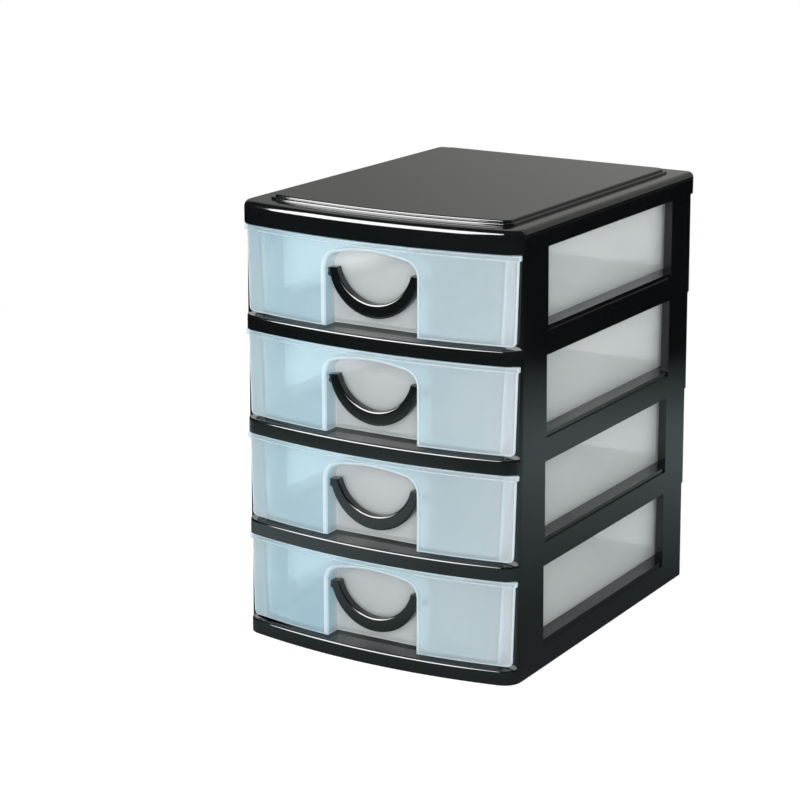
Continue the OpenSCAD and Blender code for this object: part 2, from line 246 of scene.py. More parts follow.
class Plans:
    """The outlines that all pieces share, from the sizes of each group."""

    def __init__(self, scene):
        kinds = ("tier", "cover", "drawer", "handle")
        self.t, self.c, self.d, self.h = (getattr(scene, f"drawers_{kind}") for kind in kinds)
        self.half = CAD_WIDTH / 2
        self.bow_r = (self.half**2 + self.t.bow**2) / (2 * self.t.bow)
        self.bow_y = self.bow_r - self.t.bow
        self.middle_y = (self.t.depth - self.t.bow) / 2

    def tier(self, inset):
        """The tiers' outline, moved inwards."""
        t = self.t
        return bowed(self.half - inset, self.bow_r - inset, self.bow_y, t.front_r - inset,
                     t.depth - inset, max(t.back_r - inset, LEAST_R))

    def panel(self, inset):
        """The outline of the cover's raised panel, moved inwards."""
        c, corner = self.c, self.c.panel_r - inset / 2
        return bowed(self.half - c.panel_side - inset, self.bow_r - c.panel_front - inset,
                     self.bow_y, corner, self.t.depth - c.panel_back - inset, corner)

    def drawer(self, half, behind, end, front_r, back_r=None):
        """A drawer's outline, its front following the bow behind the lip."""
        return bowed(half, self.bow_r - behind, self.bow_y, front_r, end, back_r or front_r)


def rounded_top(radius):
    """(inset, height) steps of a rounded upper edge."""
    return [(radius * (1 - math.cos(a)), radius * math.sin(a)) for a in QUARTER]


def rounded_foot(radius):
    """(inset, height) steps of a rounded lower edge."""
    return [(radius * (1 - math.sin(a)), radius * (1 - math.cos(a))) for a in QUARTER]


# ---------------------------------------------------------------- meshes


def new_object(name, bm):
    """An object from a bmesh, its doubles merged and its faces outwards."""
    bmesh.ops.remove_doubles(bm, verts=bm.verts, dist=MERGE)
    bmesh.ops.recalc_face_normals(bm, faces=bm.faces)
    mesh = bpy.data.meshes.new(name)
    bm.to_mesh(mesh)
    bm.free()
    obj = bpy.data.objects.new(name, mesh)
    bpy.context.scene.collection.objects.link(obj)
    return obj


def skin(name, rings):
    """Skin over rings of points, all with as many points, both ends capped."""
    bm = bmesh.new()
    rows = [[bm.verts.new(point) for point in ring] for ring in rings]
    for low, high in zip(rows, rows[1:]):
        for k in range(len(low)):
            m = (k + 1) % len(low)
            bm.faces.new((low[k], low[m], high[m], high[k]))
    bm.faces.new(rows[0])
    bm.faces.new(rows[-1])
    return new_object(name, bm)


def loft(name, rings):
    """Skin over rings of (outline, z)."""
    return skin(name, [[(x, y, z) for x, y in outline] for outline, z in rings])


def slab(name, outline, low, high):
    """An outline raised from one height to another."""
    return loft(name, [(outline, low), (outline, high)])


def block(name, low, high):
    """A cutter or rib given by its lowest and highest corners."""
    bm = bmesh.new()
    size = [b - a for a, b in zip(low, high)]
    middle = [(a + b) / 2 for a, b in zip(low, high)]
    place = Matrix.Translation(middle) @ Matrix.Diagonal((*size, 1))
    bmesh.ops.create_cube(bm, size=1.0, matrix=place)
    return new_object(name, bm)


def turned(name, profile, place):
    """A solid of revolution along X from (distance, radius) pairs."""
    x, y, z = place
    angles = [2 * math.pi * k / TURN_STEPS for k in range(TURN_STEPS)]
    return skin(name, [
        [(x + along, y + radius * math.cos(a), z + radius * math.sin(a)) for a in angles]
        for along, radius in profile
    ])


def copy_of(obj):
    twin = obj.copy()
    twin.data = obj.data.copy()
    bpy.context.scene.collection.objects.link(twin)
    return twin


def both_sides(shapes):
    """The shapes and their mirror images in x."""
    mirrored = [copy_of(shape) for shape in shapes]
    for twin in mirrored:
        twin.data.transform(Matrix.Diagonal((-1, 1, 1, 1)))
        twin.data.flip_normals()
    return shapes + mirrored


def combine(base, others, operation):
    """base with a Boolean of all the others, which are used up."""
    for other in others:
        modifier = base.modifiers.new(operation, "BOOLEAN")
        modifier.operation = operation
        modifier.solver = "MANIFOLD"
        modifier.object = other
    bake(base)
    for other in others:
        bpy.data.objects.remove(other)
    return base


def bake(obj):
    """The object's modifiers made plain mesh."""
    graph = bpy.context.evaluated_depsgraph_get()
    graph.update()
    mesh = bpy.data.meshes.new_from_object(obj.evaluated_get(graph))
    obj.modifiers.clear()
    obj.data = mesh


def soften(obj, width, sharp=30):
    """Rounds the edges sharper than that angle as a mould does, and shades the rest."""
    bevel = obj.modifiers.new("mould edge", "BEVEL")
    bevel.width = width
    bevel.segments = 2
    bevel.limit_method = "ANGLE"
    bevel.angle_limit = math.radians(sharp)
    bevel.use_clamp_overlap = True
    bevel.miter_outer = "MITER_ARC"
    shade(obj)


def shade(obj, sharp=50):
    """Shades smooth up to that angle, led by the larger faces, and bakes."""
    obj.modifiers.new("even shading", "WEIGHTED_NORMAL").keep_sharp = True
    obj.data.shade_smooth()
    obj.data.set_sharp_from_angle(angle=math.radians(sharp))
    bake(obj)


def mark_rounded(obj, centre_y, reach, ends):
    """Marks the narrow faces where the bowed front turns round an edge.

    They lie farther than reach from the bow's centre, and of the round ends beyond
    x = +-ends only the last part counts.
    """
    widest, least_turn = 1.3, math.radians(8)  # of a face, and from it to the next
    along_bow, sideways, upright = 0.99, 0.8, 0.3  # cosines of a face's direction
    bm = bmesh.new()
    bm.from_mesh(obj.data)
    layer = bm.faces.layers.float.new(ROUNDED)
    for face in bm.faces:
        width = face.calc_area() / max(edge.calc_length() for edge in face.edges)
        turn = max(edge.calc_face_angle(0.0) for edge in face.edges)
        middle = face.calc_center_median()
        out = Vector((middle.x, middle.y - centre_y, 0))
        turned_off = face.normal.dot(out.normalized()) < along_bow
        at_end = (abs(middle.x) < ends or abs(face.normal.x) > sideways
                  or abs(face.normal.z) > upright)
        narrow = width < widest and turn > least_turn
        face[layer] = float(out.length > reach and turned_off and at_end and narrow)
    bm.to_mesh(obj.data)
    bm.free()


def finish_piece(obj, node, tier, body, maker):
    """Puts a piece of a tier (0 is the cover) in the frame and hands it over."""
    plans = Plans(bpy.context.scene)
    lift = (TIERS - tier) * PITCH
    obj.data.transform(Matrix.Scale(MM, 4) @ Matrix.Translation((0, -plans.middle_y, lift)))
    obj.name = obj.data.name = f"{node}_moulding"
    obj.data.materials.clear()
    obj.data.materials.append(finish(maker))
    for face in obj.data.polygons:
        face.material_index = 0
    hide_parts(node)
    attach(obj, body)


def finish_tiers(obj, node, maker, body=None):
    """Finishes a piece for each tier, on the given body or else on its own."""
    for tier in range(1, TIERS + 1):
        piece = obj if tier == TIERS else copy_of(obj)
        name = f"{node}_{tier}"
        finish_piece(piece, name, tier, body or name, maker)


# ---------------------------------------------------------------- materials


def add(tree, kind, inputs=None, **settings):
    """Adds a node with its settings; an input is a value, a socket or a whole node."""
    node = tree.nodes.new(kind)
    for key, value in settings.items():
        setattr(node, key, value)
    for key, source in (inputs or {}).items():
        if isinstance(source, bpy.types.Node):
            source = next(socket for socket in source.outputs if socket.enabled)
        if isinstance(source, bpy.types.NodeSocket):
            tree.links.new(source, node.inputs[key])
        else:
            node.inputs[key].default_value = source
    return node


def finish(maker):
    """The material named as its maker, which builds it when it is first asked for."""
    material = bpy.data.materials.get(maker.__name__)
    if material is None:
        material = bpy.data.materials.new(maker.__name__)
        material.use_nodes = True
        material.node_tree.nodes.clear()
        maker(material.node_tree, bpy.context.scene.drawers_finishes)
    return material


def black_polystyrene_moulded(tree, colours):
    """High-impact polystyrene, injection moulded in a polished tool.

    To the eye: a deep black with a soft, slightly uneven gloss. The skin has a faint
    orange-peel ripple a few millimetres across and very fine mould grain.
    """
    where = add(tree, "ShaderNodeTexCoord").outputs["Object"]
    # ripple every 7 mm, grain every 0.9 mm (drawn coarser than real so it shows), and
    # gloss and tone that vary over 45 mm
    ripple, grain, wear = (
        add(tree, "ShaderNodeTexNoise", {
            "Vector": where, "Scale": 1 / (size * MM), "Detail": detail, "Roughness": rough})
        for size, detail, rough in ((7, 2.0, 0.4), (0.9, 3.0, 0.6), (45, 4.0, 0.55))
    )
    gloss = add(tree, "ShaderNodeMapRange", {
        "Value": wear, "From Min": 0.3, "From Max": 0.7, "To Min": 0.05, "To Max": 0.1})
    tone = add(tree, "ShaderNodeMix", {
        "Factor": wear, "A": colours.black, "B": linear("0A0C0C")}, data_type="RGBA")
    bump = add(tree, "ShaderNodeBump", {
        "Height": ripple, "Strength": 0.1, "Distance": 0.15 * MM})
    fine = add(tree, "ShaderNodeBump", {
        "Height": grain, "Normal": bump, "Strength": 0.1, "Distance": 0.03 * MM})
    shader = add(tree, "ShaderNodeBsdfPrincipled", {
        "Base Color": tone, "Roughness": gloss, "Normal": fine, "IOR": 1.59})
    add(tree, "ShaderNodeOutputMaterial", {"Surface": shader})


def frosted_polypropylene_and_painted_cool_light(tree, colours):
    """Natural polypropylene, injection moulded against a fine-etched tool.

    To the eye: milky and faintly bluish, with a stronger blue on the fronts that is
    painted cool light; what lies close behind it shows as a soft shadow, what is
    farther off melts away. The etch is a very fine grain.
    """
    where = add(tree, "ShaderNodeTexCoord").outputs["Object"]
    place = add(tree, "ShaderNodeSeparateXYZ", {0: where}).outputs
    # flow clouds 60 mm across; etched grain every 0.8 mm (drawn coarser than real)
    clouds, etch = (
        add(tree, "ShaderNodeTexNoise", {
            "Vector": where, "Scale": 1 / (size * MM), "Detail": 3.0, "Roughness": rough})
        for size, rough in ((60, 0.5), (0.8, 0.65))
    )
    bump = add(tree, "ShaderNodeBump", {
        "Height": etch, "Strength": 0.1, "Distance": 0.04 * MM})
    # the fronts are tinted with painted cool light, a bluish cast most on the left;
    # the tint ends 1.5 to 2.6 mm behind the front corners' chord, so the trays and the
    # pockets' backs have none
    chord = -Plans(bpy.context.scene).middle_y
    across = add(tree, "ShaderNodeMapRange", {
        "Value": place["X"], "From Min": -60 * MM, "From Max": 60 * MM, "To Max": 0.5})
    front = add(tree, "ShaderNodeMix", {
        "Factor": across, "A": colours.front, "B": colours.frosted}, data_type="RGBA")
    behind = add(tree, "ShaderNodeMapRange", {
        "Value": place["Y"], "From Min": (chord + 1.5) * MM, "From Max": (chord + 2.6) * MM})
    tone_and_painted_cool_light = add(tree, "ShaderNodeMix", {
        "Factor": behind, "A": front, "B": colours.frosted}, data_type="RGBA")
    milky = add(tree, "ShaderNodeMix", {
        "Factor": clouds, "A": tone_and_painted_cool_light, "B": linear("FFFFFF")},
        data_type="RGBA", blend_type="SOFT_LIGHT")
    # light gathers in the moulding's edges and makes them white
    around = add(tree, "ShaderNodeBevel", {"Radius": 1.6 * MM}, samples=4)
    flat = add(tree, "ShaderNodeNewGeometry").outputs["Normal"]
    same = add(tree, "ShaderNodeVectorMath", {0: around, 1: flat}, operation="DOT_PRODUCT")
    corner = add(tree, "ShaderNodeMapRange", {
        "Value": same, "From Min": 0.995, "From Max": 0.85, "To Max": 0.45})
    turns = add(tree, "ShaderNodeAttribute", attribute_name=ROUNDED).outputs["Fac"]
    edge = add(tree, "ShaderNodeMath", {0: corner, 1: turns}, operation="MAXIMUM")
    tone = add(tree, "ShaderNodeMix", {
        "Factor": edge, "A": milky, "B": linear("C6D3D8")}, data_type="RGBA")
    # the flatter the look through a wall, the longer the way and the milkier it gets
    facing = add(tree, "ShaderNodeLayerWeight", {"Blend": 0.5}).outputs["Facing"]
    slant = add(tree, "ShaderNodeMath", {0: facing, 1: 2.0}, operation="POWER")
    solid = add(tree, "ShaderNodeMapRange", {"Value": edge, "To Min": 0.26, "To Max": 0.75})
    density = add(tree, "ShaderNodeMath", {0: slant, 1: 0.45, 2: solid},
                  operation="MULTIPLY_ADD", use_clamp=True)
    # the light that passes is dimmed, and takes on less of the tint than the surface
    light = add(tree, "ShaderNodeMix", {
        "Factor": 0.4, "A": tone, "B": linear("D7D7D7")}, data_type="RGBA")
    clear = add(tree, "ShaderNodeBsdfTransparent", {"Color": light})
    milk = add(tree, "ShaderNodeBsdfTranslucent", {"Color": tone, "Normal": bump})
    skin_coat = add(tree, "ShaderNodeBsdfPrincipled", {
        "Base Color": tone, "Normal": bump, "IOR": 1.49, "Roughness": 0.35})
    body = add(tree, "ShaderNodeMixShader", {"Fac": 0.5, 1: milk, 2: skin_coat})
    surface = add(tree, "ShaderNodeMixShader", {"Fac": density, 1: clear, 2: body})
    add(tree, "ShaderNodeOutputMaterial", {"Surface": surface})


def studio_paper_and_painted_reflection(tree, colours):
    """Seamless white background paper, matt and faintly uneven.

    The camera sees it as near white, and it keeps the object's soft shadow. The gloss
    mirrors a painted reflection instead, a glow that only the gloss sees: paper that is
    bright in front on the left and dim on the right, darker behind with a painted shadow
    close to the object's foot, dark farther off, a grey backdrop, and a bluish tone low
    down that is painted cool light.
    """
    where = add(tree, "ShaderNodeTexCoord").outputs["Object"]
    place = add(tree, "ShaderNodeSeparateXYZ", {0: where}).outputs
    reach = add(tree, "ShaderNodeVectorMath", {0: where}, operation="LENGTH")
    # paper fibre clouds 20 mm across
    fibre = add(tree, "ShaderNodeTexNoise", {
        "Vector": where, "Scale": 1 / (20 * MM), "Detail": 5.0})
    bump = add(tree, "ShaderNodeBump", {
        "Height": fibre, "Strength": 0.02, "Distance": 0.1 * MM})
    paper = add(tree, "ShaderNodeBsdfDiffuse", {
        "Color": colours.floor, "Roughness": 0.6, "Normal": bump})
    white = add(tree, "ShaderNodeEmission", {"Color": linear("FFFFFF"), "Strength": 1.0})
    # each ramp: what it goes by, where it starts and ends in metres, its level at both
    ramps = {
        "clearing": (reach, 0.3, 0.9, 0.75, 1.0),
        # painted light: the mirrored paper in front, brightest close by and on the left
        "near": (reach, 0.72, 0.38, 0.0, 1.0),
        "left": (place["X"], 0.0, -0.16, 0.45, 1.0),
        # painted shadow: the mirrored paper behind, darkest close to the object's foot
        "foot": (reach, 0.14, 0.4, 0.12, 0.5),
        # the mirrored paper fading to dark farther off
        "fade_far": (reach, 0.75, 0.5, 0.0, 1.0),
        "back": (place["Y"], -0.2, -0.08, 0.0, 1.0),
        "height": (place["Z"], 0.1, 0.4, 0.0, 1.0),
        "side": (place["X"], -2.3, -1.5, 0.28, 0.42),
    }
    for name, (source, start, end, low, high) in ramps.items():
        ramps[name] = add(tree, "ShaderNodeMapRange", {
            "Value": source, "From Min": start, "From Max": end, "To Min": low, "To Max": high})
    path, seen = seen_directly(tree)
    # the share of plain white, and the painted reflection's levels: the mirrored paper
    # before and behind the object, and the mirrored backdrop
    share, before, behind, backdrop = (
        add(tree, "ShaderNodeMath", {0: a, 1: b}, operation="MULTIPLY")
        for a, b in ((seen, ramps["clearing"]), (ramps["near"], ramps["left"]),
                     (ramps["foot"], ramps["fade_far"]), (ramps["height"], ramps["side"]))
    )
    shown = add(tree, "ShaderNodeMixShader", {"Fac": share, 1: paper, 2: white})
    floor = add(tree, "ShaderNodeMix", {"Factor": ramps["back"], "A": before, "B": behind})
    level = add(tree, "ShaderNodeMath", {0: floor, 1: backdrop}, operation="MAXIMUM")
    # painted cool light: the mirrored paper bluish low down, near white higher up
    tone = add(tree, "ShaderNodeMix", {
        "Factor": ramps["height"], "A": linear("DCF0F4"), "B": linear("FDFFF9")},
        data_type="RGBA")
    # the painted reflection, a glow that only the gloss sees
    mirrored = add(tree, "ShaderNodeEmission", {"Color": tone, "Strength": level})
    mix = add(tree, "ShaderNodeMixShader", {
        "Fac": path["Is Glossy Ray"], 1: shown, 2: mirrored})
    add(tree, "ShaderNodeOutputMaterial", {"Surface": mix})


def seen_directly(tree):
    """The light path's outputs, and a node that is 1 for what is seen, also through."""
    path = add(tree, "ShaderNodeLightPath").outputs
    seen = {0: path["Is Camera Ray"], 1: path["Is Transmission Ray"]}
    return path, add(tree, "ShaderNodeMath", seen, operation="MAXIMUM")


# ---------------------------------------------------------------- geometry nodes


def new_tree(name, sizes):
    """A geometry tree with named inputs at these values, and its inputs' sockets."""
    tree = bpy.data.node_groups.new(name, "GeometryNodeTree")
    io = tree.interface
    io.new_socket(name="Geometry", in_out="OUTPUT", socket_type="NodeSocketGeometry")
    for label, value in sizes.items():
        kind = "NodeSocketInt" if isinstance(value, int) else "NodeSocketFloat"
        io.new_socket(name=label, in_out="INPUT", socket_type=kind).default_value = value
    return tree, add(tree, "NodeGroupInput").outputs


def end_tree(tree, shape):
    """Ends the tree with its shape made real and in black plastic."""
    real = add(tree, "GeometryNodeRealizeInstances", {"Geometry": shape})
    coat = add(tree, "GeometryNodeSetMaterial", {
        "Geometry": real, "Material": finish(black_polystyrene_moulded)})
    add(tree, "NodeGroupOutput", {"Geometry": coat})
    return tree


def bail_tree(sizes):
    """A bail swept along an arc, its section growing from the arms to the bottom.

    Each point of the swept section is moved on its own ray from the outer circle's
    centre, between the inner and the outer circle.
    """
    tree, given = new_tree("bail_sweep", {
        "Outer radius": sizes.outer_r, "Inner radius": sizes.inner_r,
        "Inner rise": sizes.width + sizes.inner_r - sizes.outer_r,
        "Half sweep": math.pi / 2 - math.asin((sizes.up - sizes.arm_up) / sizes.outer_r),
        "Thickness": sizes.thick, "Bevel": sizes.bevel,
    })
    rise, half = given["Inner rise"], given["Half sweep"]
    down, band = -math.pi / 2, 6.0  # the way to the bottom; the section's first width

    start = add(tree, "ShaderNodeMath", {0: down, 1: half}, operation="SUBTRACT")
    sweep = add(tree, "ShaderNodeMath", {0: half, 1: 2.0}, operation="MULTIPLY")
    path = add(tree, "GeometryNodeCurveArc", {
        "Resolution": 97, "Radius": 1.0, "Start Angle": start, "Sweep Angle": sweep},
        mode="RADIUS")
    box = add(tree, "GeometryNodeCurvePrimitiveQuadrilateral", {
        "Width": band, "Height": given["Thickness"]}, mode="RECTANGLE")
    rounded = add(tree, "GeometryNodeFilletCurve", {
        "Count": 4, "Curve": box, "Radius": given["Bevel"]}, mode="POLY")
    spot = add(tree, "GeometryNodeInputPosition").outputs[0]
    curves, points = [], []
    for curve in (path, rounded):
        kept = add(tree, "GeometryNodeCaptureAttribute", {"Geometry": curve})
        kept.capture_items.new("VECTOR", "Point")
        tree.links.new(spot, kept.inputs["Point"])
        curves.append(kept)
        points.append(add(tree, "ShaderNodeSeparateXYZ", {0: kept.outputs["Point"]}).outputs)
    swept = add(tree, "GeometryNodeCurveToMesh", {
        "Fill Caps": True, "Curve": curves[0], "Profile Curve": curves[1]})
    along, across = points

    # where the ray meets the inner circle, whose centre lies higher by the inner rise
    side = add(tree, "ShaderNodeMath", {0: rise, 1: along["X"]}, operation="MULTIPLY")
    inner, leg = (
        add(tree, "ShaderNodeMath", {0: root, 1: 2.0}, operation="POWER")
        for root in (given["Inner radius"], side)
    )
    square = add(tree, "ShaderNodeMath", {0: inner, 1: leg}, operation="SUBTRACT")
    reach = add(tree, "ShaderNodeMath", {0: square}, operation="SQRT")
    lift = add(tree, "ShaderNodeMath", {0: rise, 1: along["Y"]}, operation="MULTIPLY")
    near = add(tree, "ShaderNodeMath", {0: lift, 1: reach}, operation="ADD")
    # the point's share of the way from there to the outer circle, and its new place
    part = add(tree, "ShaderNodeMath", {0: across["X"], 1: band}, operation="DIVIDE")
    share = add(tree, "ShaderNodeMath", {0: part, 1: 0.5}, operation="ADD")
    room = add(tree, "ShaderNodeMath", {0: given["Outer radius"], 1: near},
               operation="SUBTRACT")
    step = add(tree, "ShaderNodeMath", {0: share, 1: room}, operation="MULTIPLY")
    distance = add(tree, "ShaderNodeMath", {0: near, 1: step}, operation="ADD")
    x, z = (
        add(tree, "ShaderNodeMath", {0: along[axis], 1: distance}, operation="MULTIPLY")
        for axis in ("X", "Y")
    )
    place = add(tree, "ShaderNodeCombineXYZ", {"X": x, "Y": across["Y"], "Z": z})
    moved = add(tree, "GeometryNodeSetPosition", {"Geometry": swept, "Position": place})
    return end_tree(tree, moved)


def rib_tree(width, depth, rib_t, rib_h):
    """A grid of moulded ribs: bars repeated along and across a rectangle."""
    tree, given = new_tree("rib_grid", {
        "Width": width, "Depth": depth, "Rib thickness": rib_t, "Rib height": rib_h,
        "Bars along": RIB_BARS, "Bars across": RIB_BARS,
    })
    join = add(tree, "GeometryNodeJoinGeometry")
    for count, span, reach, axis, other in (("Bars along", "Width", "Depth", "X", "Y"),
                                            ("Bars across", "Depth", "Width", "Y", "X")):
        gaps = add(tree, "ShaderNodeMath", {0: given[count], 1: 1.0}, operation="ADD")
        pitch = add(tree, "ShaderNodeMath", {0: given[span], 1: gaps}, operation="DIVIDE")
        half = add(tree, "ShaderNodeMath", {0: given[span], 1: -0.5}, operation="MULTIPLY")
        first = add(tree, "ShaderNodeMath", {0: half, 1: pitch}, operation="ADD")
        offset, start, size = (
            add(tree, "ShaderNodeCombineXYZ", sides)
            for sides in ({axis: pitch}, {axis: first},
                          {axis: given["Rib thickness"], other: given[reach],
                           "Z": given["Rib height"]})
        )
        line = add(tree, "GeometryNodeMeshLine", {
            "Count": given[count], "Start Location": start, "Offset": offset},
            mode="OFFSET", count_mode="TOTAL")
        bar = add(tree, "GeometryNodeMeshCube", {"Size": size})
        bars = add(tree, "GeometryNodeInstanceOnPoints", {"Points": line, "Instance": bar})
        tree.links.new(bars.outputs[0], join.inputs[0])
    return end_tree(tree, join)


def grown(name, tree):
    """A plain mesh object from a geometry tree at its own values."""
    obj = bpy.data.objects.new(name, bpy.data.meshes.new(name))
    bpy.context.scene.collection.objects.link(obj)
    modifier = obj.modifiers.new(name, "NODES")
    modifier.node_group = tree
    bake(obj)
    return obj


# ---------------------------------------------------------------- pieces


class DRAWERS_OT_cover(bpy.types.Operator):
    """Builds the cover: one skin from the skirt over the flange to the raised panel"""

    bl_idname = "drawers.cover"
    bl_label = "Cover"

    def execute(self, context):
        plans = Plans(context.scene)
        t, c = plans.t, plans.c
        r, first, top = c.step_r, c.flange_z + c.step_h, c.flange_z + 2 * c.step_h
        edge = c.flange_z - c.edge_r
        outer = [(plans.tier(-c.over + t.edge), 0.0), (plans.tier(-c.over), t.edge)]
        outer += [(plans.tier(i - c.over), edge + z) for i, z in rounded_top(c.edge_r)]
        outer += [(plans.tier(c.edge_r - c.over + GUARD), c.flange_z)]
        for inset, low, high in ((0.0, c.flange_z, first), (c.step_w, first, top)):
            outer += [(plans.panel(inset - GUARD), low), (plans.panel(inset), low)]
            outer += [(plans.panel(inset + i), high - r + z) for i, z in rounded_top(r)]
        outer += [(plans.panel(c.step_w + r + GUARD), top)]
        shell = loft("cover", outer)
        plates = block("plate", (plans.half, t.post_y, 0),
                       (plans.half + c.over + c.plate_out, t.depth - t.back_r, c.plate_h))
        combine(shell, both_sides([plates]), "UNION")
        hollow = [
            slab("under_flange", plans.tier(t.wall + t.draft), -OVER, c.flange_z - t.wall),
            slab("under_panel", plans.panel(c.step_w + t.wall), -OVER, top - t.wall),
        ]
        combine(hollow[0], hollow[1:], "UNION")
        combine(shell, hollow[:1], "DIFFERENCE")
        combine(shell, sockets(plans, c.flange_z - OVER), "UNION")
        shade(shell, sharp=32)
        finish_piece(shell, "top_cover", 0, "stack", black_polystyrene_moulded)
        return {"FINISHED"}


def peg_places(plans):
    """Front lower corner of each peg on one side, and its thickness."""
    t = plans.t
    starts = (t.post_y + 2 * t.wall, t.depth - t.back_post + t.wall)
    places = [(plans.half - t.post_t + GAP, y) for y in starts]
    return places, t.post_t - t.wall - t.draft - 2 * GAP


def sockets(plans, top):
    """Sockets that take the pegs of the tier below, joined to the skirt."""
    t = plans.t
    places, thick = peg_places(plans)
    around = GAP + t.socket_t
    made = []
    for x, y in places:
        outer = block("socket", (x - around, y - around, GAP),
                      (x + thick + GAP + OVER, y + t.peg_l + around, top))
        hole = block("hole", (x - GAP, y - GAP, -OVER),
                     (x + thick + GAP, y + t.peg_l + GAP, t.peg_h + GAP))
        made.append(combine(outer, [hole], "DIFFERENCE"))
    return both_sides(made)


class DRAWERS_OT_tiers(bpy.types.Operator):
    """Builds the tier frames: lip, deck, sills, posts, pegs and the ribbed underside"""

    bl_idname = "drawers.tiers"
    bl_label = "Tier frames"

    def execute(self, context):
        plans = Plans(context.scene)
        t = plans.t
        half, inner, behind_lip = plans.half, t.wall + t.draft, t.post_y + t.wall
        window, stop = t.post_y + t.front_post, t.depth - t.back_post
        sill_in, post_in, back_in = half - t.sill_w, half - t.post_t, half - t.back_return
        ledge_x, ledge_z = half - t.strip_w, t.sill_z + t.ledge_up
        channel_end = t.depth - plans.d.tray_back + GAP

        shell = loft("shell", [(plans.tier(0), 0.0), (plans.tier(t.draft), PITCH)])
        front = block("front", (-FAR, -FAR, -OVER), (FAR, t.post_y, FAR))
        combine(shell, [front], "DIFFERENCE")
        edge_z = t.deck_z - t.lip_r
        edge_in = t.draft * edge_z / PITCH
        lip = loft("lip", [(plans.tier(0), 0.0)] + [
            (plans.tier(edge_in + i), edge_z + z) for i, z in rounded_top(t.lip_r)])
        keep = block("keep", (-FAR, -FAR, -OVER), (FAR, behind_lip, FAR))
        combine(lip, [keep], "INTERSECT")
        combine(shell, [lip], "UNION")

        cuts = [
            block("bay", (-post_in, -FAR, ledge_z), (post_in, t.depth - inner, FAR)),
            block("channel", (-sill_in, -FAR, t.deck_z), (sill_in, channel_end, FAR)),
            block("windows", (-FAR, window, ledge_z), (FAR, stop, FAR)),
            block("back", (-back_in, plans.middle_y, t.sill_z), (back_in, FAR, FAR)),
        ]
        cap, web = PITCH - t.wall, half - inner
        cuts += both_sides([
            block("strip", (ledge_x, window, t.sill_z), (FAR, stop, FAR)),
            block("front_post", (post_in - OVER, behind_lip, ledge_z),
                  (web, window - t.wall, cap)),
            block("back_post", (back_in, stop + t.wall, ledge_z),
                  (web, t.depth - inner, cap)),
        ])
        combine(shell, cuts, "DIFFERENCE")

        low = slab("under_deck", plans.tier(inner), -OVER, t.deck_z - t.wall)
        high = slab("under_sills", plans.tier(inner), -OVER, ledge_z - t.wall)
        walls = sill_in + t.wall
        combine(high, [
            block("channel_wall", (-walls, -FAR, -FAR), (walls, channel_end + t.wall, FAR)),
            block("front_wall", (-FAR, -FAR, -FAR), (FAR, behind_lip, FAR)),
        ], "DIFFERENCE")
        combine(shell, [low, high], "DIFFERENCE")
        combine(shell, self.pegs(plans) + sockets(plans, ledge_z - OVER), "UNION")
        combine(shell, [self.ribs(plans, sill_in)], "UNION")
        soften(shell, t.edge)
        finish_tiers(shell, "tier_frame", black_polystyrene_moulded, "stack")
        return {"FINISHED"}

    @staticmethod
    def pegs(plans):
        t = plans.t
        places, thick = peg_places(plans)
        return both_sides([
            block("peg", (x, y, PITCH - t.wall), (x + thick, y + t.peg_l, PITCH + t.peg_h))
            for x, y in places
        ])

    @staticmethod
    def ribs(plans, sill_in):
        """The rib grid under the deck, trimmed to the bowed skirt."""
        t = plans.t
        under = t.deck_z - t.wall
        ribs = grown("ribs", rib_tree(2 * sill_in, t.depth, t.rib_t, t.rib_h + OVER))
        middle = (0, t.depth / 2, under + (OVER - t.rib_h) / 2)
        ribs.data.transform(Matrix.Translation(middle))
        keep = slab("keep", plans.tier(t.wall + t.draft - OVER), 0, PITCH)
        return combine(ribs, [keep], "INTERSECT")


